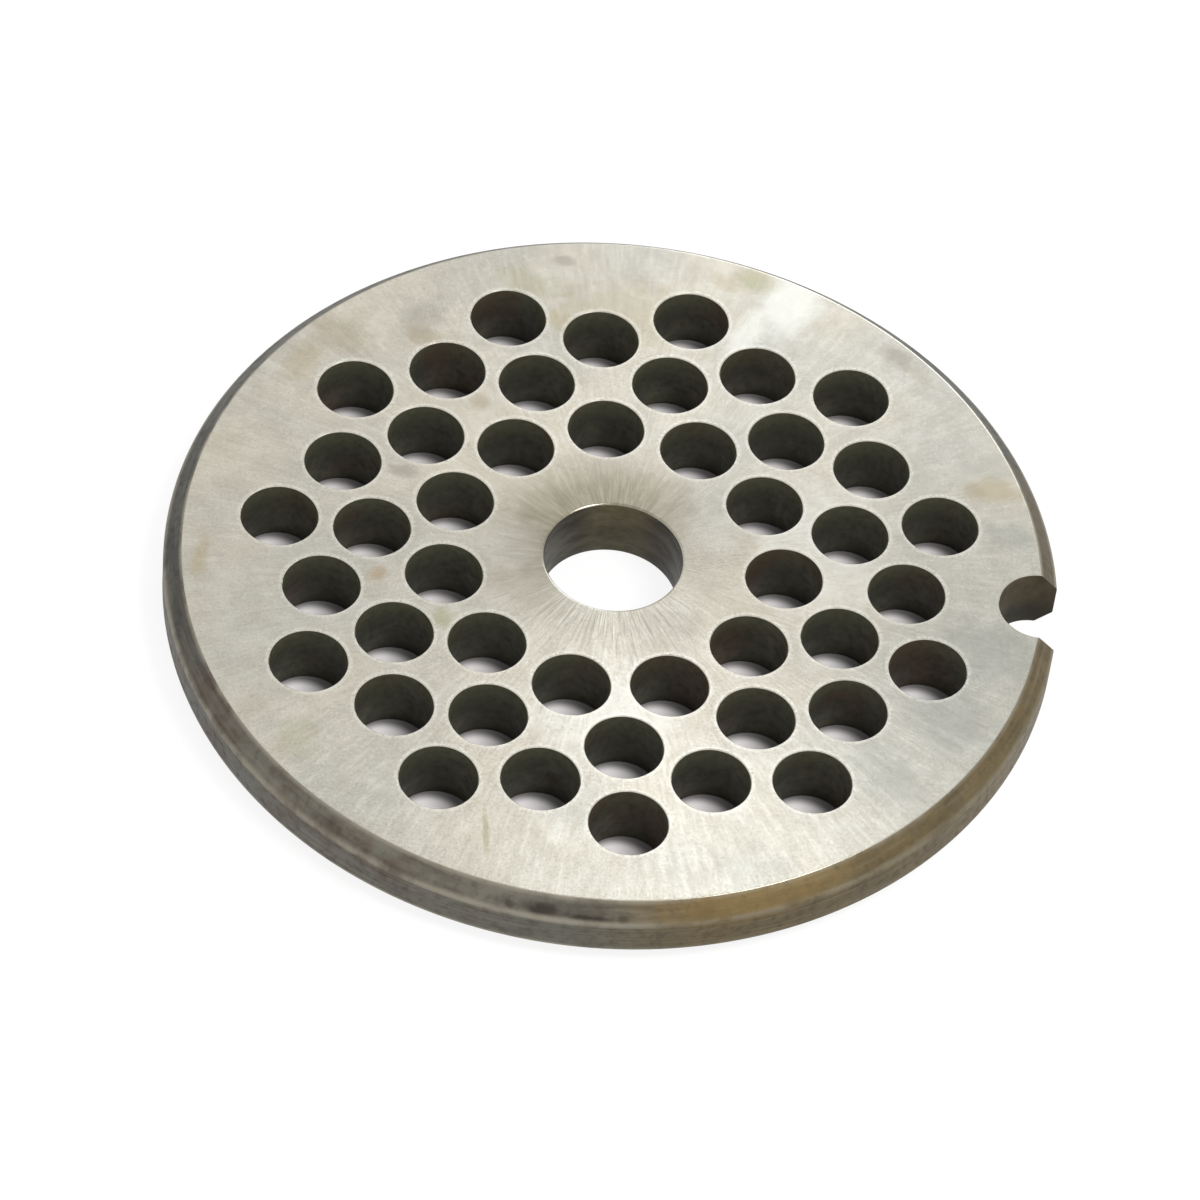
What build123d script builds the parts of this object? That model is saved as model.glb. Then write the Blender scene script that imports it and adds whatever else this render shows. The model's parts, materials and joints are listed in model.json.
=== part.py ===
"""Meat grinder plate: a flat steel disc, drilled with rings of holes that the meat is pushed through.

It sits in the mouth of the grinder with its rim in the housing, its bore on the end stud of the
feed screw and its notch over a pin that stops it from turning. The two faces are alike, so that
the plate can be turned over when one has worn.

The frame has its origin on the bore's axis in the lower face, +Z out of the upper face, and +X
through the middle of the notch. Lengths are in millimetres and angles in degrees.
"""
import math
import os

from build123d import *

# Disc
plate_diameter = 70.0
plate_thickness = 5.6
rim_bevel = 1.4                     # 45 degree bevel along the edge of both faces

# Bore in the middle, which the feed screw's stud turns in
bore_diameter = 10.8

# Meat holes, in rings about the bore, each ring turned half a step from the one inside it
hole_diameter = 6.0
holes_per_ring = 11
hub_width = 5.0                     # solid steel between the bore and the inner ring
ring_webs = (1.17, 1.20, 1.70)      # steel between a hole and the nearest one in the next ring out
pattern_turn = -0.7                 # from the notch to the nearest hole of the inner ring

# Notch in the rim, with a round end, cut right through
notch_width = 6.3
notch_depth = 4.7
notch_overrun = 1.0                 # how far its cutter passes the rim
least_web = 0.4                     # the thinnest wall that holes may leave at the notch's depth

plate_radius = plate_diameter / 2
bore_radius = bore_diameter / 2
hole_radius = hole_diameter / 2
half_step = 180.0 / holes_per_ring
closest_centres = hole_diameter + min(ring_webs)


def inner_ring_radius():
    """Radius of the inner ring: clear of the hub, and its own holes clear of each other."""
    beside_hub = bore_radius + hub_width + hole_radius
    beside_each_other = closest_centres / (2 * math.sin(math.radians(half_step)))
    return max(beside_hub, beside_each_other)


def next_ring_radius(ring_radii, web):
    """Radius of the ring outside the last one: half a step on, with a web between the two.

    It lies in line with the ring two inside it, and keeps clear of that one too.
    """
    last = ring_radii[-1]
    sideways = last * math.sin(math.radians(half_step))
    outwards = math.sqrt(max((hole_diameter + web) ** 2 - sideways**2, 0.0))
    beside_last = last * math.cos(math.radians(half_step)) + outwards
    if len(ring_radii) < 2:
        return beside_last
    return max(beside_last, ring_radii[-2] + closest_centres)


def rings_that_fit():
    """Radii of the rings, from the inner one out, that stay inside the notch's depth."""
    ring_radii = [inner_ring_radius()]
    for web in ring_webs:
        ring_radii.append(next_ring_radius(ring_radii, web))
    furthest = plate_radius - notch_depth - least_web - hole_radius
    return [radius for radius in ring_radii if radius <= furthest]


# Plate
with BuildPart() as grinder_plate:
    with BuildSketch(Plane.XY):
        Circle(plate_radius)
    extrude(amount=plate_thickness)
    chamfer(grinder_plate.edges().filter_by(GeomType.CIRCLE), rim_bevel)

    # Bore
    Hole(bore_radius)

    # Meat holes
    for ring, ring_radius in enumerate(rings_that_fit()):
        ring_turn = pattern_turn + ring * half_step
        with PolarLocations(ring_radius, holes_per_ring, start_angle=ring_turn):
            Hole(hole_radius)

    # Notch
    with BuildSketch(Plane.XY):
        with Locations((plate_radius - notch_depth + notch_width / 2, 0)):
            Circle(notch_width / 2)
            Rectangle(
                notch_depth + notch_overrun,
                notch_width,
                align=(Align.MIN, Align.CENTER),
            )
    extrude(amount=plate_thickness, mode=Mode.SUBTRACT)

grinder_plate.part.label = "grinder_plate"

os.makedirs("parts", exist_ok=True)
export_step(grinder_plate.part, "parts/grinder_plate.step")
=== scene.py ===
"""Looks of a meat grinder plate: the drilled steel disc, its worn finishes and a plain studio.

The frame holds the plate's real sizes. Lengths in the properties are in metres, and the
shaders count in millimetres. The plate lies flat, with its bore on the Z axis, its lower face
at z = 0 and the locating notch in its rim on +X.
"""
import json
import math

import bpy
from mathutils import Matrix, Vector


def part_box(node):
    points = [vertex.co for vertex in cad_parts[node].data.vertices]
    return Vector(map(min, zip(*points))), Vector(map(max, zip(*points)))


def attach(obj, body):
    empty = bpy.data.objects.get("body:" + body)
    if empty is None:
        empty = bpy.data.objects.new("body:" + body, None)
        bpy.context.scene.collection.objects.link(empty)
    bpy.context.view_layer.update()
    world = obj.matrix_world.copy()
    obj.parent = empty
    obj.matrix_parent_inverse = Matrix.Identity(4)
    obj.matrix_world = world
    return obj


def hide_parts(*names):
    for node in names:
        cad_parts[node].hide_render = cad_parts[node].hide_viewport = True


bl_info = {
    "name": "Meat grinder plate",
    "version": (1, 0, 0),
    "blender": (4, 5, 0),
    "location": "View3D > Sidebar > Grinder Plate",
    "description": "Builds a drilled meat grinder plate with worn steel finishes",
    "category": "Add Mesh",
}

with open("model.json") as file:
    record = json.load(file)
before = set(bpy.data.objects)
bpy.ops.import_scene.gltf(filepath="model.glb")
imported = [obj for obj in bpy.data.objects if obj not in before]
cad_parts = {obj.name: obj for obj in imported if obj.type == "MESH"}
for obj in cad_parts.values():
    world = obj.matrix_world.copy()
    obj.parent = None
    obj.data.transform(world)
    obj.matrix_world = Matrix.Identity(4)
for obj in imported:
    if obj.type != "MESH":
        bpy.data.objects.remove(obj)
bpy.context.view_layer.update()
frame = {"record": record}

MM = 0.001
NODE = "grinder_plate"
BODY = "root"
RINGS = ("Inner Ring", "Second Ring", "Third Ring", "Outer Ring")

# How finely the plate is cut, and how its mesh is sorted into zones
RIM_SEGMENTS = 256
HOLE_SEGMENTS = 64
CORNER_POINTS = 4                   # points that round off a section's corner
DRILL_OVERRUN = 0.5 * MM            # how far a drill passes the faces
WELD = 0.0001 * MM                  # points nearer than this are one
ZONE = "zone"
ZONE_TURNED, ZONE_HOLE, ZONE_NOTCH = 1, 2, 3
LEVEL = 0.002                       # faces that lean less than this are the plate's flat faces
STEEP = 0.5                         # faces that lean more than this are walls
CRISP_ANGLE = math.radians(32)

FLOAT = "NodeSocketFloat"
INTEGER = "NodeSocketInt"
VECTOR = "NodeSocketVector"
GEOMETRY = "NodeSocketGeometry"
MATERIAL = "NodeSocketMaterial"


# --- Sizes that the frame gives ---------------------------------------------------------------

def mount_size(name, key):
    """A dimension of one of the record's mounts, in metres."""
    mount = next(m for m in frame["record"]["mounts"] if m["name"] == name)
    return mount["dims"][key] * MM


plate_low, plate_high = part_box(NODE)
THICKNESS = plate_high.z - plate_low.z
RIM_RADIUS = -plate_low.x           # just inside the facets of the frame's rim
RIM_BEVEL = (THICKNESS - mount_size("rim", "length_mm")) / 2
BORE_RADIUS = mount_size("bore", "r_mm")


# --- Properties -------------------------------------------------------------------------------

def number(name, description, default, **settings):
    """A number property."""
    return bpy.props.FloatProperty(name=name, description=description, default=default, **settings)


def length(name, description, default):
    """A length property, in metres."""
    return number(name, description, default, min=0.0, unit="LENGTH", precision=5)


def angle(name, description, degrees):
    """An angle property."""
    return number(name, description, math.radians(degrees), subtype="ANGLE")


def power(name, description, default):
    """A lamp's power property."""
    return number(name, description, default, min=0.0, unit="POWER")


def colour(name, description, red, green, blue):
    """A colour property, given as it is seen on a screen, from 0 to 255, and kept linear."""
    return bpy.props.FloatVectorProperty(
        name=name, description=description, subtype="COLOR", size=3, min=0.0, max=1.0,
        default=tuple(linear(channel / 255) for channel in (red, green, blue)))


def linear(shown):
    """The linear value of a screen value from 0 to 1."""
    return shown / 12.92 if shown <= 0.04045 else ((shown + 0.055) / 1.055) ** 2.4


class PlateSizes(bpy.types.PropertyGroup):
    """Sizes of the plate, its holes, its notch and its worn edges."""

    rim_radius: length("Rim Radius", "Radius of the rim's straight band", RIM_RADIUS)
    thickness: length("Thickness", "From the lower face to the upper one", THICKNESS)
    rim_bevel: length("Rim Bevel", "Width of the 45 degree bevel along both faces", RIM_BEVEL)
    bore_radius: length("Bore Radius", "Radius of the bore in the middle", BORE_RADIUS)
    hole_radius: length("Hole Radius", "Radius of a meat hole", 3.0 * MM)
    hub_width: length("Hub Width", "Steel between the bore and the inner ring", 5.0 * MM)
    ring_webs: bpy.props.FloatVectorProperty(
        name="Ring Webs", description="Steel between a hole and the nearest one in the next ring",
        default=(1.17 * MM, 1.20 * MM, 1.70 * MM), size=3, unit="LENGTH", precision=5)
    holes_per_ring: bpy.props.IntProperty(
        name="Holes per Ring", description="Meat holes in each ring", default=11, min=3)
    pattern_turn: angle("Pattern Turn", "From the notch to the inner ring's nearest hole", -0.7)
    notch_width: length("Notch Width", "Width of the notch, whose end is round", 6.3 * MM)
    notch_depth: length("Notch Depth", "Depth of the notch from the rim", 4.7 * MM)
    edge_break: length("Edge Break", "Worn width of the holes' and the notch's edges", 0.09 * MM)
    rim_wear: length("Rim Wear", "Rounding of the corners of the bevels", 0.22 * MM)
    bore_wear: length("Bore Wear", "Rounding of the bore's edges", 0.2 * MM)

    def ring_radii(self):
        """Radii of the rings, each turned half a step from the last and a web away from it."""
        half_step = math.pi / self.holes_per_ring
        closest = 2 * self.hole_radius + min(self.ring_webs)
        radii = [max(self.bore_radius + self.hub_width + self.hole_radius,
                     closest / (2 * math.sin(half_step)))]
        for web in self.ring_webs:
            centres = 2 * self.hole_radius + web
            across = radii[-1] * math.sin(half_step)
            radius = radii[-1] * math.cos(half_step) + math.sqrt(centres ** 2 - across ** 2)
            if len(radii) > 1:
                radius = max(radius, radii[-2] + closest)
            radii.append(radius)
        return radii

    def by_input(self):
        """The sizes, by the names of the plate tree's inputs."""
        names = [name for name in self.__annotations__ if name not in ("hub_width", "ring_webs")]
        sizes = {self.bl_rna.properties[name].name: getattr(self, name) for name in names}
        return {**sizes, **dict(zip(RINGS, self.ring_radii()))}


# --- Building node trees ----------------------------------------------------------------------

def is_socket(value):
    """Whether a value is a node's socket."""
    return isinstance(value, bpy.types.NodeSocket)


def put(value, socket):
    """Joins a socket to a value that is a socket too, or else sets it."""
    if is_socket(value):
        socket.id_data.links.new(value, socket)
    else:
        socket.default_value = value


def add_node(kind, inputs=None, tree=None, **settings):
    """A new node with its settings made, and its inputs joined to sockets or given values.

    Where no tree is given, the node goes into the tree of the sockets that it is joined to.
    """
    if tree is None:
        tree = next(value.id_data for value in inputs.values() if is_socket(value))
    node = tree.nodes.new(kind)
    for name, value in settings.items():
        setattr(node, name, value)
    for key, value in (inputs or {}).items():
        put(value, node.inputs[key])
    return node


def output(kind, inputs=None, socket=0, **settings):
    """An output of a new node."""
    return add_node(kind, inputs, **settings).outputs[socket]


def maths(operation, *values):
    """The result of a Math node."""
    return output("ShaderNodeMath", dict(enumerate(values)), operation=operation)


def product(*factors):
    """The product of values."""
    result = factors[0]
    for factor in factors[1:]:
        result = maths("MULTIPLY", result, factor)
    return result


def ramp(value, factor, start):
    """A value times a factor, added to a start."""
    return maths("MULTIPLY_ADD", value, factor, start)


def vector_maths(operation, *values, socket="Vector"):
    """The vector, or the other output, that a Vector Math node gives."""
    return output("ShaderNodeVectorMath", dict(enumerate(values)), socket, operation=operation)


def vector_length(vector):
    """The length of a vector."""
    return vector_maths("LENGTH", vector, socket="Value")


def combine(x, y, z):
    """A vector of three values."""
    return output("ShaderNodeCombineXYZ", {0: x, 1: y, 2: z})


def separate(vector):
    """The three values of a vector."""
    return add_node("ShaderNodeSeparateXYZ", {0: vector}).outputs


def new_tree(name, kind, inputs, outputs):
    """A node tree with named sockets, and the outputs of its input node.

    inputs are (name, socket type, default or None), and outputs are (name, socket type).
    """
    tree = bpy.data.node_groups.new(name, kind)
    for socket_name, socket_type, default in inputs:
        socket = tree.interface.new_socket(socket_name, in_out="INPUT", socket_type=socket_type)
        if default is not None:
            socket.default_value = default
    for socket_name, socket_type in outputs:
        tree.interface.new_socket(socket_name, in_out="OUTPUT", socket_type=socket_type)
    return tree, tree.nodes.new("NodeGroupInput").outputs


def with_outputs(tree, *values):
    """The tree, with values joined to its outputs in their order."""
    for value, socket in zip(values, tree.nodes.new("NodeGroupOutput").inputs):
        put(value, socket)
    return tree


# --- The plate's shape, in Geometry Nodes -----------------------------------------------------

def pick(index, data_type, values):
    """The value that an index picks out of a list of sockets or numbers."""
    switch = add_node("GeometryNodeIndexSwitch", {"Index": index}, data_type=data_type)
    while len(switch.index_switch_items) < len(values):
        switch.index_switch_items.new()
    for place, value in enumerate(values):
        put(value, switch.inputs[str(place)])
    return switch.outputs[0]


def section_line(tree, points, closed, corner_radii):
    """A section, as a curve, with its corners rounded.

    points are (across, up) pairs of sockets or numbers, and corner_radii one radius each.
    """
    index = output("GeometryNodeInputIndex", tree=tree)
    places = pick(index, "VECTOR", [combine(across, up, 0.0) for across, up in points])
    line = output("GeometryNodeMeshLine", {"Count": len(points)}, tree=tree, mode="OFFSET")
    placed = output("GeometryNodeSetPosition", {"Geometry": line, "Position": places})
    curve = output("GeometryNodeMeshToCurve", {"Mesh": placed})
    curve = output("GeometryNodeSetSplineCyclic", {"Geometry": curve, "Cyclic": closed})
    return output("GeometryNodeFilletCurve",
                  {"Curve": curve, "Count": CORNER_POINTS, "Limit Radius": True,
                   "Radius": pick(index, "FLOAT", corner_radii)}, mode="POLY")


def turned_solid(tree, points, closed, corner_radii, guide_radius, segments):
    """The mesh that a section makes when it is turned about the Z axis.

    The section runs clockwise, out along its top, so that the faces point outwards. It is kept
    as offsets from a guide circle, whose curve frame points out and down.
    """
    offsets = [(maths("SUBTRACT", radius, guide_radius),
                product(height, -1.0) if is_socket(height) else -height) for radius, height in points]
    section = section_line(tree, offsets, closed, corner_radii)
    guide = output("GeometryNodeCurvePrimitiveCircle",
                   {"Resolution": segments, "Radius": guide_radius}, "Curve", mode="RADIUS")
    skin = output("GeometryNodeCurveToMesh", {"Curve": guide, "Profile Curve": section})
    return output("GeometryNodeMergeByDistance", {"Geometry": skin, "Distance": WELD})


def marked(geometry, zone):
    """The mesh with all its faces marked as one of the cut zones."""
    return output("GeometryNodeStoreNamedAttribute",
                  {"Geometry": geometry, "Name": ZONE, "Value": zone}, data_type="INT", domain="FACE")


def build_drill_group():
    """Geometry node group: a drill that also breaks the edges of the hole it cuts."""
    tree, given = new_tree(
        "Edge Breaking Drill", "GeometryNodeTree",
        [("Radius", FLOAT, 3.0 * MM), ("Thickness", FLOAT, THICKNESS),
         ("Edge Break", FLOAT, 0.1 * MM), ("Segments", INTEGER, HOLE_SEGMENTS)],
        [("Drill", GEOMETRY)])
    radius, top, edge = given["Radius"], given["Thickness"], given["Edge Break"]
    wide = maths("ADD", maths("ADD", radius, edge), DRILL_OVERRUN)
    above = maths("ADD", top, DRILL_OVERRUN)
    upper = maths("SUBTRACT", top, edge)
    points = [(0.0, above), (wide, above), (radius, upper), (radius, edge),
              (wide, -DRILL_OVERRUN), (0.0, -DRILL_OVERRUN)]
    rounded = [0.0, 0.0, edge, edge, 0.0, 0.0]
    return with_outputs(tree, turned_solid(tree, points, False, rounded, radius, given["Segments"]))


def build_plate_tree(drill_group, sizes):
    """Geometry node tree of the drilled plate, with inputs for its sizes and materials."""
    tree, given = new_tree(
        "Drilled Plate", "GeometryNodeTree",
        [*((name, INTEGER if isinstance(size, int) else FLOAT, size) for name, size in sizes.items()),
         *((zone, MATERIAL, None) for zone in FINISHES)],
        [("Plate", GEOMETRY)])
    blank = turned_blank(tree, given)
    cutters = add_node("GeometryNodeJoinGeometry", tree=tree)
    for ring, name in enumerate(RINGS):
        put(ring_of_drills(given, drill_group, ring, given[name]), cutters.inputs[0])
    put(notch_cutter(tree, given, drill_group), cutters.inputs[0])
    realized = output("GeometryNodeRealizeInstances", {"Geometry": cutters.outputs[0]})
    drilled = output("GeometryNodeMeshBoolean", {"Mesh 1": blank, "Mesh 2": realized},
                     operation="DIFFERENCE", solver="EXACT")
    solid = output("GeometryNodeRealizeInstances", {"Geometry": shaded_plate(tree, drilled)})
    return with_outputs(tree, with_materials(tree, given, solid))


def turned_blank(tree, given):
    """The plate as it comes off the lathe: bevelled rim, faced sides and bore, edges worn round."""
    rim, top, bevel = given["Rim Radius"], given["Thickness"], given["Rim Bevel"]
    bore, rim_wear, bore_wear = given["Bore Radius"], given["Rim Wear"], given["Bore Wear"]
    face_edge = maths("SUBTRACT", rim, bevel)
    band_top = maths("SUBTRACT", top, bevel)
    points = [(bore, top), (face_edge, top), (rim, band_top), (rim, bevel), (face_edge, 0.0), (bore, 0.0)]
    rounded = [bore_wear, rim_wear, rim_wear, rim_wear, rim_wear, bore_wear]
    solid = turned_solid(tree, points, True, rounded, rim, RIM_SEGMENTS)
    return marked(solid, ZONE_TURNED)


def drill_of(given, drill_group, radius):
    """A drill of a radius, for the plate's thickness."""
    return output("GeometryNodeGroup",
                  {"Radius": radius, "Thickness": given["Thickness"], "Edge Break": given["Edge Break"],
                   "Segments": HOLE_SEGMENTS}, node_tree=drill_group)


def ring_of_drills(given, drill_group, ring, ring_radius):
    """Instances of the meat holes' drill at one ring's holes."""
    drill = drill_of(given, drill_group, given["Hole Radius"])
    half_step = maths("DIVIDE", math.pi, given["Holes per Ring"])
    turn = maths("ADD", given["Pattern Turn"], product(half_step, float(ring)))
    circle = output("GeometryNodeMeshCircle",
                    {"Vertices": given["Holes per Ring"], "Radius": ring_radius}, fill_type="NONE")
    turned = output("GeometryNodeTransform", {"Geometry": circle, "Rotation": combine(0.0, 0.0, turn)})
    return output("GeometryNodeInstanceOnPoints", {"Points": turned, "Instance": marked(drill, ZONE_HOLE)})


def notch_cutter(tree, given, drill_group):
    """The notch's drill, drawn out through the rim into a slot with a round end."""
    radius = product(given["Notch Width"], 0.5)
    drill = drill_of(given, drill_group, radius)
    along = separate(output("GeometryNodeInputPosition", tree=tree))["X"]
    slot = output("GeometryNodeSetPosition",
                  {"Geometry": drill, "Selection": compare("GREATER_THAN", along, WELD),
                   "Offset": combine(given["Notch Depth"], 0.0, 0.0)})
    centre = maths("ADD", maths("SUBTRACT", given["Rim Radius"], given["Notch Depth"]), radius)
    placed = output("GeometryNodeTransform", {"Geometry": slot, "Translation": combine(centre, 0.0, 0.0)})
    return marked(placed, ZONE_NOTCH)


def steepness(tree):
    """How far a face or point leans off level: 0 on the plate's faces and 1 on its walls."""
    normal = output("GeometryNodeInputNormal", socket="True Normal", tree=tree)
    return maths("SUBTRACT", 1.0, maths("ABSOLUTE", separate(normal)["Z"]))


def compare(operation, a, b):
    """The result of comparing two values."""
    return output("FunctionNodeCompare", {"A": a, "B": b}, data_type="FLOAT", operation=operation)


def both(a, b):
    """True where both are."""
    return output("FunctionNodeBooleanMath", {0: a, 1: b}, operation="AND")


def shaded_plate(tree, geometry):
    """Smooth walls and roundings, flat faces, and crisp edges where the form turns sharply."""
    level = compare("LESS_THAN", steepness(tree), LEVEL)
    turn = output("GeometryNodeInputMeshEdgeAngle", socket="Unsigned Angle", tree=tree)
    crisp = compare("GREATER_THAN", turn, CRISP_ANGLE)
    for domain, selection, smooth in (("FACE", True, True), ("FACE", level, False), ("EDGE", crisp, False)):
        geometry = output("GeometryNodeSetShadeSmooth",
                          {"Geometry": geometry, "Selection": selection, "Shade Smooth": smooth},
                          domain=domain)
    return geometry


def with_materials(tree, given, geometry):
    """The plate with each zone's material: everything is face steel, and walls and rim follow."""
    zone = output("GeometryNodeInputNamedAttribute", {"Name": ZONE}, tree=tree, data_type="INT")
    turned, hole, notch = (compare("EQUAL", zone, float(value))
                           for value in (ZONE_TURNED, ZONE_HOLE, ZONE_NOTCH))
    place = separate(output("GeometryNodeInputPosition", tree=tree))
    radius = vector_length(combine(place["X"], place["Y"], 0.0))
    face_edge = maths("SUBTRACT", given["Rim Radius"], given["Rim Bevel"])
    bore_edge = maths("ADD", given["Bore Radius"], given["Bore Wear"])
    outside = compare("GREATER_THAN", radius, face_edge)
    inside = compare("LESS_THAN", radius, bore_edge)
    wall = compare("GREATER_THAN", steepness(tree), STEEP)
    selections = {
        "Face Steel": True,
        "Rim Steel": both(turned, outside),
        "Hole Wall": both(wall, hole),
        "Bore Wall": both(wall, both(turned, inside)),
        "Notch Wall": both(wall, notch),
    }
    for name, selection in selections.items():
        geometry = output("GeometryNodeSetMaterial",
                          {"Geometry": geometry, "Selection": selection, "Material": given[name]})
    return geometry


# --- Effects that several finishes share, as shader node groups -------------------------------

STAIN_INNER, STAIN_OUTER = 0.35, 1.3    # a stain is full and ends here, in half sizes from its centre


def mix_colour(factor, first, second):
    """Two colours, mixed by a factor."""
    first, second = (value if is_socket(value) else (*value, 1.0) for value in (first, second))
    return output("ShaderNodeMix", {0: factor, 6: first, 7: second}, 2, data_type="RGBA")


def fade(value, start, end, low=0.0, high=1.0):
    """A value that goes smoothly from low at start to high at end."""
    return output("ShaderNodeMapRange",
                  {"Value": value, "From Min": start, "From Max": end, "To Min": low, "To Max": high},
                  interpolation_type="SMOOTHSTEP")


def noise(vector, scale=1.0, detail=3.0, roughness=0.55):
    """A noise value, around a half."""
    return output("ShaderNodeTexNoise",
                  {"Vector": vector, "Scale": scale, "Detail": detail, "Roughness": roughness})


def scaled(vector, factor):
    """A vector times a value."""
    return output("ShaderNodeVectorMath", {0: vector, "Scale": factor}, operation="SCALE")


def in_millimetres(tree):
    """Where on the object a point is, in millimetres."""
    return scaled(output("ShaderNodeTexCoord", socket="Object", tree=tree), 1 / MM)


def in_group(group, position, **values):
    """The outputs of a group placed in a tree. Underscores in names stand for spaces."""
    inputs = {name.replace("_", " "): value for name, value in values.items()}
    return add_node("ShaderNodeGroup", {"Position": position, **inputs}, node_tree=group).outputs


def build_polar_group():
    """Shader node group: where a point is about the bore, in millimetres."""
    tree, given = new_tree(
        "Place about the Bore", "ShaderNodeTree", [("Position", VECTOR, None)],
        [("Radius", FLOAT), ("Bearing", VECTOR), ("Angle", FLOAT), ("Height", FLOAT)])
    place = separate(given["Position"])
    level = combine(place["X"], place["Y"], 0.0)
    angle_round = maths("ARCTAN2", place["Y"], place["X"])
    bearing = vector_maths("NORMALIZE", level)
    return with_outputs(tree, vector_length(level), bearing, angle_round, place["Z"])


def build_streak_group(polar_group):
    """Shader node group: fine streaks, drawn out along the radius, round the rim or down a wall."""
    tree, given = new_tree(
        "Streaks", "ShaderNodeTree",
        [("Position", VECTOR, None), ("Round", FLOAT, 60.0), ("Out", FLOAT, 0.1),
         ("Down", FLOAT, 0.1), ("Detail", FLOAT, 4.0), ("Contrast", FLOAT, 0.5)],
        [("Streaks", FLOAT)])
    polar = in_group(polar_group, given["Position"])
    round_rim = scaled(polar["Bearing"], given["Round"])
    across = maths("ADD", product(polar["Radius"], given["Out"]), product(polar["Height"], given["Down"]))
    drawn_out = vector_maths("ADD", round_rim, combine(0.0, 0.0, across))
    value = noise(drawn_out, detail=given["Detail"], roughness=0.62)
    half_band = ramp(given["Contrast"], -0.5, 0.5)
    return with_outputs(tree, fade(value, half_band, maths("SUBTRACT", 1.0, half_band)))


def build_hole_distance_group(polar_group):
    """Shader node group: how far a point is from the edge of the nearest meat hole, in millimetres."""
    tree, given = new_tree(
        "Distance to Holes", "ShaderNodeTree",
        [("Position", VECTOR, None), ("Hole Radius", FLOAT, 3.0), ("Holes per Ring", FLOAT, 11.0),
         ("Pattern Turn", FLOAT, 0.0), *((ring, FLOAT, 20.0) for ring in RINGS)],
        [("Distance", FLOAT)])
    polar = in_group(polar_group, given["Position"])
    half_step = maths("DIVIDE", math.pi, given["Holes per Ring"])
    distances = []
    for ring, name in enumerate(RINGS):
        first_hole = ramp(half_step, float(ring), given["Pattern Turn"])
        off = maths("WRAP", maths("SUBTRACT", polar["Angle"], first_hole),
                    half_step, product(half_step, -1.0))
        across = product(polar["Radius"], maths("SINE", off))
        out = product(polar["Radius"], maths("COSINE", off))
        along = maths("SUBTRACT", out, given[name])
        distances.append(vector_length(combine(across, along, 0.0)))
    nearest = distances[0]
    for distance in distances[1:]:
        nearest = maths("MINIMUM", nearest, distance)
    return with_outputs(tree, maths("SUBTRACT", nearest, given["Hole Radius"]))


def build_stain_group():
    """Shader node group: a stain about a centre, whose outline a noise value makes ragged."""
    tree, given = new_tree(
        "Stain", "ShaderNodeTree",
        [("Position", VECTOR, None), ("Rough", FLOAT, 0.5), ("Centre", VECTOR, None),
         ("Half Size", VECTOR, (3.0, 3.0, 3.0)), ("Turn", FLOAT, 0.0), ("Raggedness", FLOAT, 2.0)],
        [("Stain", FLOAT)])
    offset = vector_maths("SUBTRACT", given["Position"], given["Centre"])
    turned = output("ShaderNodeVectorRotate", {"Vector": offset, "Angle": given["Turn"]},
                    rotation_type="Z_AXIS")
    reach = vector_length(vector_maths("DIVIDE", turned, given["Half Size"]))
    rough = maths("SUBTRACT", given["Rough"], 0.5)
    ragged = ramp(rough, given["Raggedness"], reach)
    return with_outputs(tree, fade(ragged, STAIN_OUTER, STAIN_INNER))


def build_side_group(polar_group):
    """Shader node group: 1 on the side of the plate that a bearing points to, 0 on the other."""
    tree, given = new_tree(
        "Side", "ShaderNodeTree",
        [("Position", VECTOR, None), ("Bearing", FLOAT, 0.0), ("Start", FLOAT, -1.0), ("End", FLOAT, 1.0)],
        [("Side", FLOAT)])
    polar = in_group(polar_group, given["Position"])
    bearing = given["Bearing"]
    pointed = combine(maths("COSINE", bearing), maths("SINE", bearing), 0.0)
    facing = vector_maths("DOT_PRODUCT", polar["Bearing"], pointed, socket="Value")
    return with_outputs(tree, fade(facing, given["Start"], given["End"]))


def build_patch_group():
    """Shader node group: soft patches of a size in millimetres, covering more or less."""
    tree, given = new_tree(
        "Patches", "ShaderNodeTree",
        [("Position", VECTOR, None), ("Size", FLOAT, 8.0), ("Cover", FLOAT, 0.5), ("Softness", FLOAT, 0.2),
         ("Shift", VECTOR, None)],
        [("Patches", FLOAT)])
    size, softness = given["Size"], given["Softness"]
    shifted = vector_maths("ADD", given["Position"], given["Shift"])
    value = noise(vector_maths("DIVIDE", shifted, combine(size, size, size)), detail=4.0, roughness=0.58)
    middle = maths("SUBTRACT", 1.0, given["Cover"])
    start, end = maths("SUBTRACT", middle, softness), maths("ADD", middle, softness)
    return with_outputs(tree, fade(value, start, end))


class Effects:
    """The shared shader groups, built once for the plate's sizes."""

    def __init__(self, sizes):
        self.sizes = sizes
        self.polar = build_polar_group()
        self.streaks = build_streak_group(self.polar)
        self.hole_distance = build_hole_distance_group(self.polar)
        self.stain = build_stain_group()
        self.patches = build_patch_group()
        self.side = build_side_group(self.polar)

    def distance_to_holes(self, position):
        """Millimetres from the edge of the nearest meat hole."""
        sizes = self.sizes
        rings = {ring: radius / MM for ring, radius in zip(RINGS, sizes.ring_radii())}
        return in_group(self.hole_distance, position, Hole_Radius=sizes.hole_radius / MM,
                        Holes_per_Ring=float(sizes.holes_per_ring), Pattern_Turn=sizes.pattern_turn,
                        **rings)[0]


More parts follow.
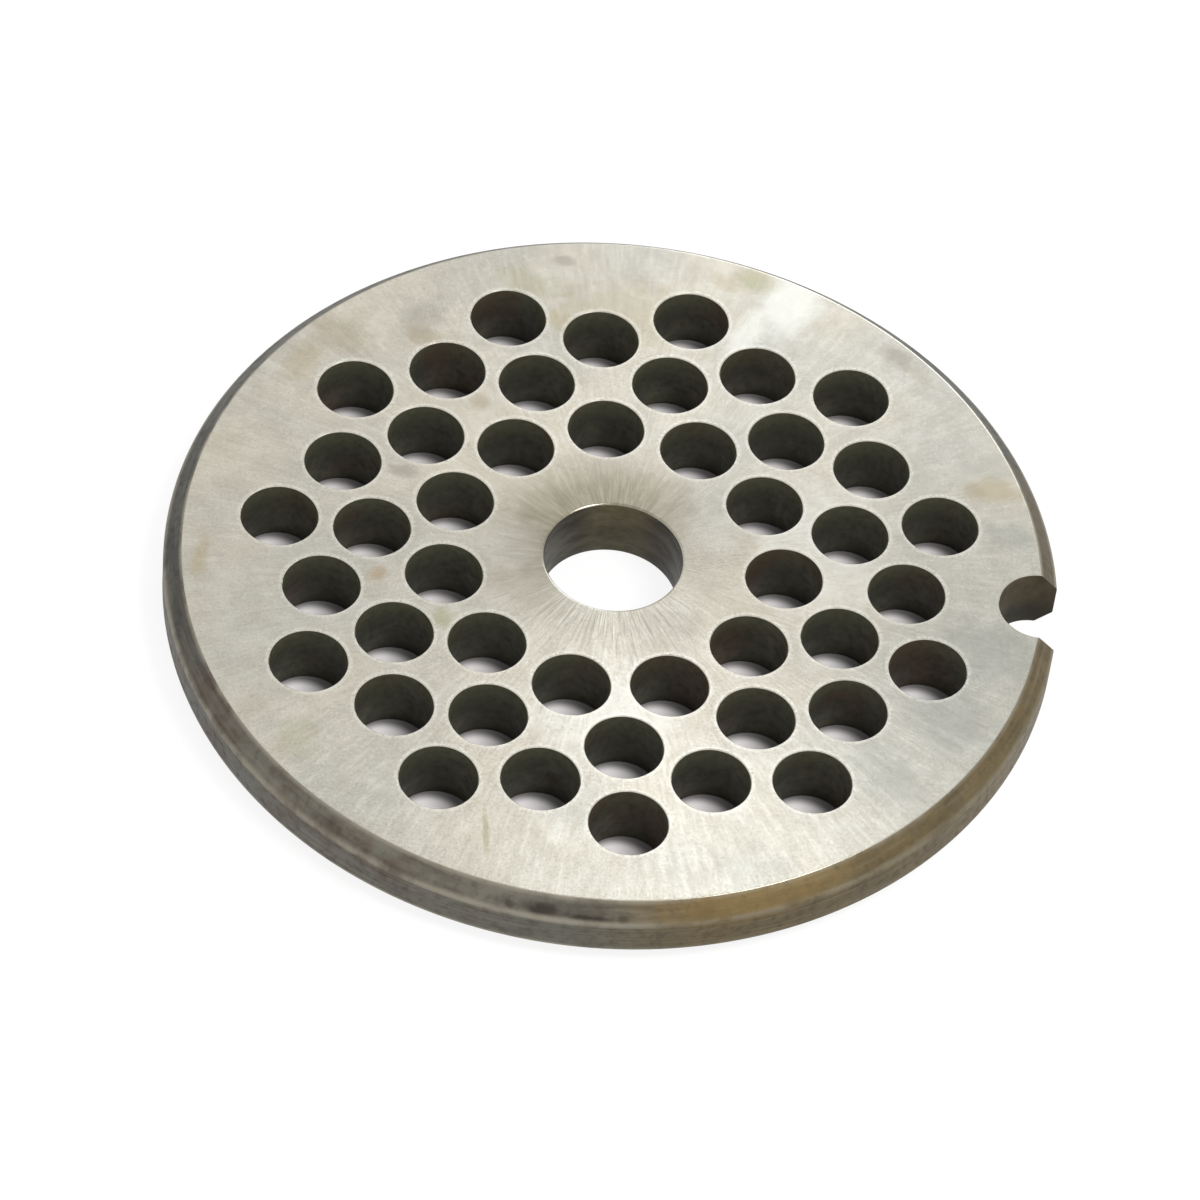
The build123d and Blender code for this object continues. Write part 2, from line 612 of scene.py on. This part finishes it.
class Paint:
    """A finish under way: a material whose base colour is laid on in coats, through masks."""

    def __init__(self, effects, colours, name, base, metallic, specular=0.5):
        self.effects = effects
        self.colours = colours
        self.material = bpy.data.materials.new(name)
        self.material.use_nodes = True
        self.tree = self.material.node_tree
        self.base = getattr(colours, base)
        self.position = in_millimetres(self.tree)
        place = in_group(effects.polar, self.position)
        self.radius = place["Radius"]
        self.height = place["Height"]
        self.put(Metallic=metallic, Specular_IOR_Level=specular)

    def put(self, **values):
        """Sets the shader's inputs. Underscores in names stand for spaces."""
        shader = self.tree.nodes["Principled BSDF"]
        for name, value in values.items():
            put(value, shader.inputs[name.replace("_", " ")])

    def streaks(self, **values):
        """A mask of fine streaks."""
        return in_group(self.effects.streaks, self.position, **values)[0]

    def patches(self, **values):
        """A mask of soft patches."""
        return in_group(self.effects.patches, self.position, **values)[0]

    def side(self, bearing, start, end):
        """A mask of one side of the plate. The bearing is in degrees from the notch."""
        return in_group(self.effects.side, self.position, Bearing=math.radians(bearing),
                        Start=start, End=end)[0]

    def coat(self, colour_name, *factors):
        """Lays a colour over the base colour, as thickly as the product of the factors."""
        share = product(*factors)
        self.base = mix_colour(share, self.base, getattr(self.colours, colour_name))

    def stain(self, stains):
        """Lays stains, and patches of painted sheen, over the base colour."""
        rough = noise(self.position, 0.8, 5.0, 0.62)
        for stain in stains:
            mask = in_group(self.effects.stain, self.position, Rough=rough,
                            Centre=stain.centre, Half_Size=stain.half_size, Turn=stain.turn,
                            Raggedness=stain.ragged)[0]
            self.coat(stain.colour, mask, stain.strength)

    def finished(self, roughness, relief, strength, depth):
        """The material, with its roughness and a relief whose depth is in metres."""
        bump = output("ShaderNodeBump", {"Height": relief, "Strength": strength, "Distance": depth})
        self.put(Base_Color=self.base, Roughness=roughness, Normal=bump)
        return self.material


# --- Finishes ---------------------------------------------------------------------------------

def face_steel(effects, colours):
    """Ground face: pale steel with fine streaks out from the bore, stains, white patches of painted sheen
    and a painted highlight along the hole edges.
    """
    paint = Paint(effects, colours, "ground_face_steel", "steel_cool", metallic=0.92)
    tangent = output("ShaderNodeTangent", tree=paint.tree, direction_type="RADIAL", axis="Z")
    paint.put(Anisotropic=0.63, Anisotropic_Rotation=0.25, Tangent=tangent)

    streaks = paint.streaks(Round=62.0, Out=0.3)
    clouds = paint.patches(Size=2.2, Softness=0.22, Shift=(2.0, 7.0, 3.0))
    grain = noise(paint.position, 4.5, 2.0, 0.75)
    # Streaks and grain are painted stronger on the front, where the sheen falls: partly the steel's own
    # marks, partly a painted sheen
    front_sheen_contrast = ramp(paint.side(272.0, 0.4, 1.0), 0.45, 0.9)
    cool_side = product(fade(paint.radius, 19.0, 24.0), paint.side(345.0, 0.7, 1.0))
    paint.coat("steel_warm", paint.patches(Size=13.0, Shift=(11.0, 4.0, 0.0)),
               maths("SUBTRACT", 1.0, cool_side))
    paint.coat("steel_bright", front_sheen_contrast, fade(streaks, 0.5, 1.0, 0.0, 0.16))
    paint.coat("steel_scratch", front_sheen_contrast, fade(streaks, 0.4, 0.0, 0.0, 0.14))
    paint.coat("steel_bright", fade(clouds, 0.4, 1.0, 0.0, 0.13))
    paint.coat("steel_scratch", fade(clouds, 0.5, 0.0, 0.0, 0.11))
    paint.coat("steel_scratch", front_sheen_contrast, fade(grain, 0.5, 0.25, 0.0, 0.27))
    paint.coat("steel_bright", front_sheen_contrast, fade(grain, 0.5, 0.75, 0.0, 0.19))
    hub_fans(paint)
    paint.stain(FACE_STAINS_AND_SHEEN)
    # Painted highlight along the edges of the meat holes
    hole_edge_highlight = fade(effects.distance_to_holes(paint.position), 0.5, 0.05)
    paint.coat("steel_bright", hole_edge_highlight, fade(grain, 0.3, 0.65, 0.15, 0.5))
    return paint.finished(ramp(streaks, -0.012, 0.241), ramp(grain, 0.3, streaks), 0.1, 0.01 * MM)


def hub_fans(paint):
    """Lays on the dark fans of marks that the knife has left about the bore."""
    near = fade(paint.radius, 12.5, 6.5)
    fans = paint.streaks(Round=19.0, Out=0.4, Contrast=0.6)
    paint.coat("hub_dark", near, paint.side(122.0, -1.0, 0.95), fade(fans, 0.1, 0.95, 0.92, 0.66))
    lines = paint.streaks(Round=46.0, Out=0.4, Detail=3.0)
    rubbed = product(near, paint.side(275.0, 0.3, 0.95), 0.5)
    paint.coat("hub_dark", rubbed, fade(lines, 0.55, 0.0))
    paint.coat("steel_bright", rubbed, fade(lines, 0.6, 1.0, 0.0, 0.75))


def rim_steel(effects, colours):
    """Rim: turned steel left dark, grey on one side and brown on the other, with a painted highlight along
    its corners.
    """
    paint = Paint(effects, colours, "rim_oxide_steel", "rim_grey", metallic=0.55)
    lines = paint.streaks(Round=4.0, Out=9.0, Down=7.0, Detail=3.0)
    blotches = paint.patches(Size=3.4, Cover=0.42, Softness=0.14, Shift=(3.0, 8.0, 1.0))
    specks = paint.patches(Size=0.7, Cover=0.42, Softness=0.14, Shift=(0.0, 0.0, 5.0))
    upper_corner = (effects.sizes.thickness - effects.sizes.rim_bevel) / MM
    on_bevel = fade(paint.height, upper_corner - 0.3, upper_corner + 0.2, 0.27, 0.42)
    brown_side = paint.side(318.0, 0.62, 0.87)
    paint.coat("rim_brown", brown_side)
    paint.coat("rim_rubbed_and_highlight", paint.side(246.0, 0.74, 0.98), on_bevel)
    paint.coat("rim_rust", blotches, paint.side(228.0, 0.75, 0.95), 0.45)
    paint.coat("rim_dark", blotches, 0.3)
    paint.coat("rim_dark", specks, 0.3)
    paint.coat("rim_rubbed_and_highlight", fade(lines, 0.45, 1.0, 0.0, 0.22))
    paint.coat("rim_dark", fade(lines, 0.45, 0.0, 0.0, 0.34))
    paint.stain(RIM_STAINS)
    # Painted highlight along the rim's corners
    paint.coat("rim_rubbed_and_highlight", corner_glint(paint, effects.sizes), ramp(brown_side, -0.55, 0.95),
               fade(blotches, 1.0, 0.0, 0.3, 1.0))
    return paint.finished(ramp(specks, 0.15, 0.5), maths("ADD", lines, specks), 0.3, 0.03 * MM)


def corner_glint(paint, sizes):
    """A mask of the painted highlight along the rim's corners: where the band meets the bevels and the
    bevels the faces.
    """
    middle = sizes.thickness / 2 / MM
    off_middle = maths("ABSOLUTE", maths("SUBTRACT", paint.height, middle))
    band_corner = middle - sizes.rim_bevel / MM
    near_band = maths("ABSOLUTE", maths("SUBTRACT", off_middle, band_corner))
    near_face = maths("SUBTRACT", middle, off_middle)
    return maths("MAXIMUM", fade(near_band, 0.36, 0.04), fade(near_face, 0.3, 0.02))


def hole_wall(effects, colours):
    """Meat hole walls: blackened steel, a little paler and olive in places, with painted shade that leaves
    them darker low down and paler towards the top.
    """
    paint = Paint(effects, colours, "hole_wall_black", "hole_black", metallic=0.4, specular=0.35)
    drawn = paint.patches(Size=3.2, Cover=0.4, Shift=(2.0, 6.0, 3.0))
    specks = paint.patches(Size=0.6, Cover=0.45, Softness=0.15, Shift=(1.0, 1.0, 1.0))
    reddish = paint.patches(Size=9.0, Cover=0.4, Softness=0.08, Shift=(4.0, 1.0, 0.0))
    # Painted shade: the walls are darker low down in the hole and paler towards its top
    high = fade(paint.height, 2.5, 5.5, 0.0, 0.85)
    paint.coat("hole_olive_and_light", maths("MAXIMUM", high, product(drawn, 0.7)))
    paint.coat("hole_rust", reddish, 0.5)
    paint.coat("rim_dark", specks, 0.3)
    return paint.finished(ramp(specks, 0.15, 0.5), specks, 0.3, 0.03 * MM)


def bore_wall(effects, colours):
    """Bore wall: steel rubbed by the stud, browned and mottled, greyer towards the notch, with painted light
    on its back, stronger towards the top.
    """
    paint = Paint(effects, colours, "bore_wall_rubbed", "bore_brown", metallic=0.6, specular=0.25)
    rings = paint.streaks(Round=2.5, Out=0.0, Down=1.6, Detail=5.0)
    mottle = paint.patches(Size=0.9, Shift=(5.0, 2.0, 0.0))
    paint.coat("bore_grey", paint.side(25.0, 0.2, 1.0))
    # Painted light on the back of the bore wall, stronger towards the top
    paint.coat("bore_pale", paint.side(88.0, 0.8, 0.99), fade(paint.height, 2.0, 5.2, 0.4, 1.0))
    paint.coat("rim_dark", mottle, 0.4)
    paint.coat("rim_rubbed_and_highlight", rings, 0.15)
    return paint.finished(ramp(rings, -0.1, 0.5), maths("ADD", rings, mottle), 0.3, 0.03 * MM)


def notch_wall(effects, colours):
    """Notch wall: milled steel gone brown, greener and darker low down."""
    paint = Paint(effects, colours, "notch_wall_brown", "notch_brown", metallic=0.4, specular=0.2)
    clouds = paint.patches(Size=2.0, Shift=(1.0, 5.0, 2.0))
    paint.coat("notch_green", fade(paint.height, 3.6, 1.4))
    paint.coat("rim_dark", clouds, 0.5)
    return paint.finished(ramp(clouds, 0.15, 0.5), clouds, 0.3, 0.04 * MM)


FINISHES = {"Face Steel": face_steel, "Rim Steel": rim_steel, "Hole Wall": hole_wall,
            "Bore Wall": bore_wall, "Notch Wall": notch_wall}


class Stain:
    """A stain, or a patch of painted sheen: its place and half sizes in millimetres, its colour, and its
    turn in degrees.
    """

    def __init__(self, x, y, wide, deep, strength, colour, turn=0, height=THICKNESS / MM, tall=3.0,
                 ragged=2.0):
        self.centre = (x, y, height)
        self.half_size = (wide, deep, tall)
        self.turn = math.radians(turn)
        self.strength = strength
        self.colour = colour
        self.ragged = ragged


FACE_STAINS_AND_SHEEN = (
    # Greyer steel beside the notch
    Stain(29.8, -5.2, 4.2, 3.6, 0.42, "stain_cool", ragged=1.4),
    Stain(27.0, -12.0, 3.4, 4.2, 0.4, "stain_cool", turn=-30, ragged=1.4),
    Stain(22.6, -18.5, 2.2, 4.4, 0.32, "stain_cool", turn=-35, ragged=1.4),
    Stain(30.5, 6.8, 2.4, 1.6, 0.35, "stain_cool"),
    # Back right: olive spots, grey spots and a white flare of painted sheen
    Stain(9.0, 31.0, 1.9, 1.4, 0.5, "stain_olive", turn=10, ragged=1.3),
    Stain(6.6, 30.4, 1.2, 0.8, 0.3, "stain_tan", turn=30),
    Stain(12.0, 29.2, 2.6, 4.6, 0.36, "white_stain_and_sheen", turn=22, ragged=0.9),
    Stain(8.6, 25.0, 1.3, 3.6, 0.26, "white_stain_and_sheen", turn=19, ragged=0.9),
    Stain(20.8, 24.6, 1.6, 1.1, 0.5, "stain_grey", turn=30, ragged=1.3),
    Stain(22.6, 22.9, 1.4, 0.8, 0.25, "stain_brown", turn=40),
    Stain(29.2, 11.4, 2.5, 1.5, 0.5, "stain_tan", ragged=1.2),
    Stain(27.6, 11.2, 1.0, 1.0, 0.25, "stain_brown", ragged=1.2),
    # Back left: brown and tan smears between the holes and the rim
    Stain(-24.0, 20.0, 3.2, 2.0, 0.36, "stain_brown", turn=30, ragged=1.3),
    Stain(-26.3, 17.0, 1.5, 2.4, 0.42, "stain_tan", turn=20, ragged=1.3),
    Stain(-17.2, 23.0, 1.5, 2.6, 0.32, "stain_grey", turn=35, ragged=1.3),
    Stain(-16.8, 20.7, 2.1, 1.2, 0.4, "stain_brown", turn=20, ragged=1.3),
    Stain(-6.8, 31.0, 1.0, 0.6, 0.45, "stain_grey"),
    Stain(-9.6, 28.2, 3.4, 1.5, 0.3, "stain_olive", turn=15),
    Stain(-6.4, 24.4, 0.9, 1.3, 0.4, "stain_tan"),
    Stain(-1.0, 25.5, 6.5, 4.0, 0.3, "stain_tan"),
    Stain(-12.0, 14.5, 0.8, 1.0, 0.35, "stain_brown"),
    Stain(-17.2, 6.4, 1.3, 0.8, 0.4, "stain_grey"),
    # Left and front: rust spots between the holes, tan patches, a thin run and white patches of painted
    # sheen
    Stain(-18.0, -4.4, 0.9, 0.9, 0.45, "stain_rust"),
    Stain(-12.6, -8.0, 1.1, 1.1, 0.5, "stain_olive"),
    Stain(-31.8, -5.0, 0.8, 2.2, 0.45, "stain_tan"),
    Stain(-22.0, -21.6, 1.8, 2.6, 0.25, "stain_olive", turn=20),
    Stain(-26.4, -19.0, 1.5, 1.2, 0.15, "stain_brown"),
    Stain(-7.1, -28.6, 0.28, 2.6, 0.6, "stain_olive", turn=-8),
    Stain(-1.8, -27.8, 0.8, 1.4, 0.22, "white_stain_and_sheen", ragged=0.9),
    Stain(0.5, -15.5, 6.0, 5.0, 0.25, "white_stain_and_sheen"),
    # The hub and its first holes: paler steel left and right of the bore, a duller patch in front
    Stain(-8.2, 0.0, 2.8, 3.0, 0.14, "white_stain_and_sheen", ragged=1.5),
    Stain(7.4, 3.6, 2.4, 3.0, 0.12, "white_stain_and_sheen", ragged=1.5),
    Stain(16.0, 2.4, 5.2, 8.0, 0.24, "white_stain_and_sheen", ragged=1.5),
    Stain(4.6, -7.2, 3.4, 3.0, 0.3, "stain_grey", ragged=1.5),
    Stain(8.4, -14.0, 4.6, 4.6, 0.18, "stain_grey", ragged=1.5),
)

RIM_STAINS = (
    # Dark smudges on the front of the upper bevel
    Stain(-0.4, -34.3, 4.8, 1.0, 0.4, "rim_dark", height=4.8, tall=0.6),
    Stain(-4.7, -34.3, 0.5, 0.5, 0.6, "rim_dark", height=4.7, tall=0.35),
    Stain(-2.3, -34.4, 1.2, 0.6, 0.85, "rim_dark", height=4.75, tall=0.4),
    Stain(1.1, -34.6, 2.0, 0.4, 0.85, "rim_dark", height=4.55, tall=0.22),
    Stain(3.8, -34.4, 0.5, 0.5, 0.6, "rim_dark", height=4.6, tall=0.3),
    # Orange brown right of them
    Stain(13.0, -31.6, 9.0, 3.6, 0.4, "rim_tan", turn=-23, height=5.2, tall=1.6, ragged=1.2),
    # Olive brown on the rim beside the notch
    Stain(33.0, 9.0, 4.0, 9.5, 0.55, "rim_brown", height=4.4, tall=4.0, ragged=1.0),
)


class PlateFinish(bpy.types.PropertyGroup):
    """Colours of the plate's steel, its rim and its walls."""

    steel_cool: colour("Steel, Cool", "Ground face where it is greyest", 176, 173, 162)
    steel_warm: colour("Steel, Warm", "Ground face where it is creamiest", 190, 183, 167)
    # Also the colour of the painted highlight along the hole edges
    steel_bright: colour("Steel, Bright", "Bright streaks and rubbed edges", 222, 219, 209)
    steel_scratch: colour("Steel, Scratch", "Darker streaks in the ground face", 138, 131, 116)
    hub_dark: colour("Hub, Dark", "Fans of marks about the bore", 128, 121, 103)
    stain_cool: colour("Stain, Cool", "Greyer steel beside the notch", 138, 142, 136)
    # Painted sheen in white flares on the ground face, and paler white stains
    white_stain_and_sheen: colour("Stain, White", "White flares", 244, 243, 236)
    stain_olive: colour("Stain, Olive", "Olive spots", 150, 147, 110)
    stain_tan: colour("Stain, Tan", "Tan patches", 164, 149, 112)
    stain_brown: colour("Stain, Brown", "Brown smears", 146, 130, 104)
    stain_grey: colour("Stain, Grey", "Grey spots", 134, 126, 116)
    stain_rust: colour("Stain, Rust", "Rust spots", 158, 126, 84)
    rim_grey: colour("Rim, Grey", "Rim where its steel shows", 70, 69, 64)
    rim_brown: colour("Rim, Brown", "Rim where it has gone brown", 92, 79, 51)
    rim_rust: colour("Rim, Rust", "Reddish blotches", 84, 52, 36)
    rim_tan: colour("Rim, Tan", "Orange brown on the upper bevel", 122, 98, 52)
    rim_dark: colour("Rim, Dark", "Dark specks and smudges", 42, 36, 28)
    # Also the colour of the painted highlight along the rim's corners
    rim_rubbed_and_highlight: colour("Rim, Rubbed", "Rim where it is rubbed bright", 132, 127, 113)
    hole_black: colour("Hole, Black", "Meat hole walls", 60, 60, 50)
    # Also the colour of the painted light near the tops of the hole walls
    hole_olive_and_light: colour("Hole, Olive", "Paler patches in the meat holes", 90, 89, 70)
    hole_rust: colour("Hole, Rust", "Reddish patches in some meat holes", 76, 54, 40)
    bore_brown: colour("Bore, Brown", "Bore wall where it is brown", 46, 41, 27)
    # Painted light on the bore wall at the back
    bore_pale: colour("Bore, Pale", "Bore wall at the back", 92, 85, 60)
    bore_grey: colour("Bore, Grey", "Bore wall where it is grey", 48, 42, 36)
    notch_brown: colour("Notch, Brown", "Notch wall near the upper face", 74, 64, 46)
    notch_green: colour("Notch, Green", "Notch wall low down", 46, 44, 33)


# --- The studio -------------------------------------------------------------------------------

SOFTBOX_DISTANCE = 0.9              # from the middle of the plate
FLOOR_GAP = 0.01 * MM               # keeps the floor clear of the plate's lower face
SENSOR_WIDTH = 36.0                 # of the camera, in millimetres
CLIPPING = (0.01, 10.0)             # the nearest and the farthest that the camera sees
WHITE = (1.0, 1.0, 1.0)

# The floor's shade, in millimetres
RIM_SHADE = (6.0, 3.0)              # how far inside the rim it is full and how far in it ends
BORE_SHADE = 2.0                    # how far outside the bore it is full
CONTACT_SHIFT = (0.4, 0.15, 0.0)    # lays the shade in the holes to the right and the back
# The painted contact shadow at the foot of the holes' walls
CONTACT_WIDTH = 0.9                 # of the darker edge at the foot of the holes' walls


class StudioSettings(bpy.types.PropertyGroup):
    """Camera, lights and floor."""

    lens: number("Lens", "The camera's focal length, in millimetres", 180.0)
    aim: bpy.props.FloatVectorProperty(
        name="Aim", description="The point that the camera looks at", subtype="TRANSLATION",
        unit="LENGTH", default=(-0.657 * MM, -2.165 * MM, 2.8 * MM), precision=5)
    distance: length("Distance", "From the camera to the point it looks at", 468.2 * MM)
    azimuth: angle("Azimuth", "The camera's turn about the plate, from -Y towards +X", 0.154)
    elevation: angle("Elevation", "The camera's height above the horizon", 49.665)
    roll: angle("Roll", "The camera's turn about its own axis", 6.456)
    floor_size: length("Floor Size", "Width of the floor", 4.0)
    floor_colour: colour("Floor Colour", "The floor and the sky", 250, 250, 249)
    shade_colour: colour("Shade Colour", "The floor inside the meat holes", 234, 230, 230)
    # Painted contact shadow on the floor at the foot of the hole walls
    contact_shadow_colour: colour("Contact Colour", "The floor at the foot of the meat holes' walls", 116, 112, 113)
    sky_strength: number("Sky Strength", "Light from all round", 1.0, min=0.0)
    key_power: power("Key Power", "Power of the softbox behind the plate", 1.5)
    top_power: power("Top Power", "Power of the softbox above the plate", 0.12)
    side_power: power("Side Power", "Power of the softbox beside the plate, over the notch", 6.0)
    lamp_colour: colour("Lamp Colour", "The softboxes behind and above", 235, 243, 255)
    floor_glow: number("Floor Glow", "How far the floor's shadows are lifted", 0.86, min=0.0, max=1.0)


def seen_directly(tree):
    """1 where the camera, a reflection or glass looks at a surface, and 0 for light that bounces."""
    path = add_node("ShaderNodeLightPath", tree=tree).outputs
    seen = maths("MAXIMUM", path["Is Camera Ray"], path["Is Glossy Ray"])
    return maths("MAXIMUM", seen, path["Is Transmission Ray"])


def floor_material(studio, effects):
    """White floor that keeps a soft shadow, fully so inside the meat holes, where a shade and a contact
    shadow are also painted into its colour.
    """
    material = bpy.data.materials.new("studio_floor")
    material.use_nodes = True
    tree = material.node_tree
    shader = tree.nodes["Principled BSDF"]
    shader.inputs["Roughness"].default_value = 0.9
    place = in_millimetres(tree)
    away = vector_length(place)
    rim, bore = effects.sizes.rim_radius / MM, effects.sizes.bore_radius / MM
    shade_full, shade_end = (rim - inside for inside in RIM_SHADE)
    lifted = maths("MAXIMUM", fade(away, shade_full, shade_end),
                   fade(away, bore + BORE_SHADE, bore))
    shifted = vector_maths("ADD", place, CONTACT_SHIFT)
    contact_shadow_mask = fade(effects.distance_to_holes(shifted), -CONTACT_WIDTH, 0.0)
    shade = mix_colour(contact_shadow_mask, studio.shade_colour, studio.contact_shadow_colour)
    put(mix_colour(lifted, shade, studio.floor_colour), shader.inputs["Base Color"])
    glow = output("ShaderNodeEmission", {"Color": (*WHITE, 1.0), "Strength": 1.0}, tree=tree)
    share = product(seen_directly(tree), lifted, studio.floor_glow)
    blend = output("ShaderNodeMixShader", {0: share, 1: shader.outputs[0], 2: glow})
    put(blend, tree.nodes["Material Output"].inputs["Surface"])
    return material


def build_floor(studio, effects):
    """A square floor under the plate."""
    half = studio.floor_size / 2
    mesh = bpy.data.meshes.new("studio_floor")
    level = plate_low.z - FLOOR_GAP
    corners = [(x * half, y * half, level) for x, y in ((-1, -1), (1, -1), (1, 1), (-1, 1))]
    mesh.from_pydata(corners, [], [(0, 1, 2, 3)])
    mesh.materials.append(floor_material(studio, effects))
    floor = bpy.data.objects.new("studio_floor", mesh)
    bpy.context.scene.collection.objects.link(floor)


def build_sky(studio):
    """An even pale sky, white where it is seen."""
    world = bpy.data.worlds.new("studio_sky")
    bpy.context.scene.world = world
    world.use_nodes = True
    tree = world.node_tree
    background = tree.nodes["Background"]
    background.inputs["Color"].default_value = (*studio.floor_colour, 1.0)
    camera_ray = output("ShaderNodeLightPath", socket="Is Camera Ray", tree=tree)
    strength = output("ShaderNodeMapRange",
                      {"Value": camera_ray, "To Min": studio.sky_strength, "To Max": 1.0})
    put(strength, background.inputs["Strength"])


def look_from(azimuth, elevation, roll=0.0):
    """Where something that looks at the middle stands, as a direction, and how it is turned."""
    back = Vector((math.sin(azimuth) * math.cos(elevation),
                   -math.cos(azimuth) * math.cos(elevation), math.sin(elevation)))
    turn = (-back).to_track_quat("-Z", "Y").to_matrix()
    return back, (turn @ Matrix.Rotation(roll, 3, "Z")).to_4x4()


def add_softbox(name, energy, tint, azimuth, elevation, size):
    """A square area light, aimed at the plate from SOFTBOX_DISTANCE. Its angles are in degrees."""
    light = bpy.data.lights.new(name, "AREA")
    light.color = tint
    light.shape = "SQUARE"
    light.size = size
    light.energy = energy
    lamp = bpy.data.objects.new(name, light)
    back, turn = look_from(math.radians(azimuth), math.radians(elevation))
    lamp.matrix_world = Matrix.Translation(back * SOFTBOX_DISTANCE) @ turn
    bpy.context.scene.collection.objects.link(lamp)


def build_camera(studio):
    """The camera, a long lens looking down at the plate."""
    data = bpy.data.cameras.new("studio_camera")
    data.lens = studio.lens
    data.sensor_width = SENSOR_WIDTH
    data.clip_start, data.clip_end = CLIPPING
    camera = bpy.data.objects.new("studio_camera", data)
    back, turn = look_from(studio.azimuth, studio.elevation, studio.roll)
    camera.matrix_world = Matrix.Translation(Vector(studio.aim) + back * studio.distance) @ turn
    bpy.context.scene.collection.objects.link(camera)
    bpy.context.scene.camera = camera


# --- Operators and panel ----------------------------------------------------------------------

def plain_mesh(name, tree, values):
    """A new object whose mesh is what a geometry node tree makes from named values."""
    piece = bpy.data.objects.new(name, bpy.data.meshes.new(name + "_seed"))
    bpy.context.scene.collection.objects.link(piece)
    shape = piece.modifiers.new("Shape", "NODES")
    shape.node_group = tree
    for item in tree.interface.items_tree:
        if item.item_type == "SOCKET" and item.in_out == "INPUT":
            shape[item.identifier] = values[item.name]
    depsgraph = bpy.context.evaluated_depsgraph_get()
    mesh = bpy.data.meshes.new_from_object(piece.evaluated_get(depsgraph), depsgraph=depsgraph)
    mesh.name = name
    if mesh.materials and mesh.materials[0] is None:    # a slot that no face uses
        mesh.materials.pop(index=0)
    piece.modifiers.remove(shape)
    seed, piece.data = piece.data, mesh
    bpy.data.meshes.remove(seed)
    return piece


class GRINDER_OT_drilled_plate(bpy.types.Operator):
    """Builds the drilled plate in place of its CAD solid"""

    bl_idname = "grinder.drilled_plate"
    bl_label = "Drilled Plate"

    def execute(self, context):
        effects = Effects(context.scene.grinder_sizes)
        sizes = context.scene.grinder_sizes.by_input()
        tree = build_plate_tree(build_drill_group(), sizes)
        materials = {zone: finish(effects, context.scene.grinder_finish)
                     for zone, finish in FINISHES.items()}
        plate = plain_mesh("drilled_plate", tree, {**sizes, **materials})
        if not plate.data.polygons:
            raise RuntimeError("the drilled plate came out empty")
        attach(plate, BODY)
        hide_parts(NODE)
        return {"FINISHED"}


class GRINDER_OT_studio(bpy.types.Operator):
    """Builds the floor, the sky, the soft light and the camera"""

    bl_idname = "grinder.studio"
    bl_label = "Studio"

    def execute(self, context):
        studio = context.scene.grinder_studio
        build_floor(studio, Effects(context.scene.grinder_sizes))
        build_sky(studio)
        add_softbox("key_softbox", studio.key_power, studio.lamp_colour,
                    azimuth=168.0, elevation=27.0, size=0.36)
        add_softbox("top_softbox", studio.top_power, studio.lamp_colour,
                    azimuth=175.5, elevation=55.7, size=0.1)
        add_softbox("side_softbox", studio.side_power, WHITE, azimuth=66.0, elevation=62.0, size=0.34)
        build_camera(studio)
        context.scene.view_settings.view_transform = "Standard"
        return {"FINISHED"}


class GRINDER_PT_sidebar(bpy.types.Panel):
    """Sizes, finishes and operators of the meat grinder plate"""

    bl_idname = "GRINDER_PT_sidebar"
    bl_label = "Meat Grinder Plate"
    bl_space_type = "VIEW_3D"
    bl_region_type = "UI"
    bl_category = "Grinder Plate"

    def draw(self, context):
        scene = context.scene
        for title, group in (("Sizes", scene.grinder_sizes), ("Finish", scene.grinder_finish),
                             ("Studio", scene.grinder_studio)):
            box = self.layout.box()
            box.label(text=title)
            for name in group.__annotations__:
                box.prop(group, name)
        for operator in (GRINDER_OT_drilled_plate, GRINDER_OT_studio):
            self.layout.operator(operator.bl_idname)


CLASSES = (PlateSizes, PlateFinish, StudioSettings, GRINDER_OT_drilled_plate, GRINDER_OT_studio,
           GRINDER_PT_sidebar)
SCENE_GROUPS = {"grinder_sizes": PlateSizes, "grinder_finish": PlateFinish,
                "grinder_studio": StudioSettings}


def register():
    """Registers the classes and gives each scene its groups of properties."""
    for cls in CLASSES:
        bpy.utils.register_class(cls)
    for name, group in SCENE_GROUPS.items():
        setattr(bpy.types.Scene, name, bpy.props.PointerProperty(type=group))


def unregister():
    """Takes back what register did."""
    for name in SCENE_GROUPS:
        delattr(bpy.types.Scene, name)
    for cls in reversed(CLASSES):
        bpy.utils.unregister_class(cls)


def main():
    """Builds the plate and its studio."""
    register()
    bpy.ops.grinder.drilled_plate()
    bpy.ops.grinder.studio()


if __name__ == "__main__":
    main()
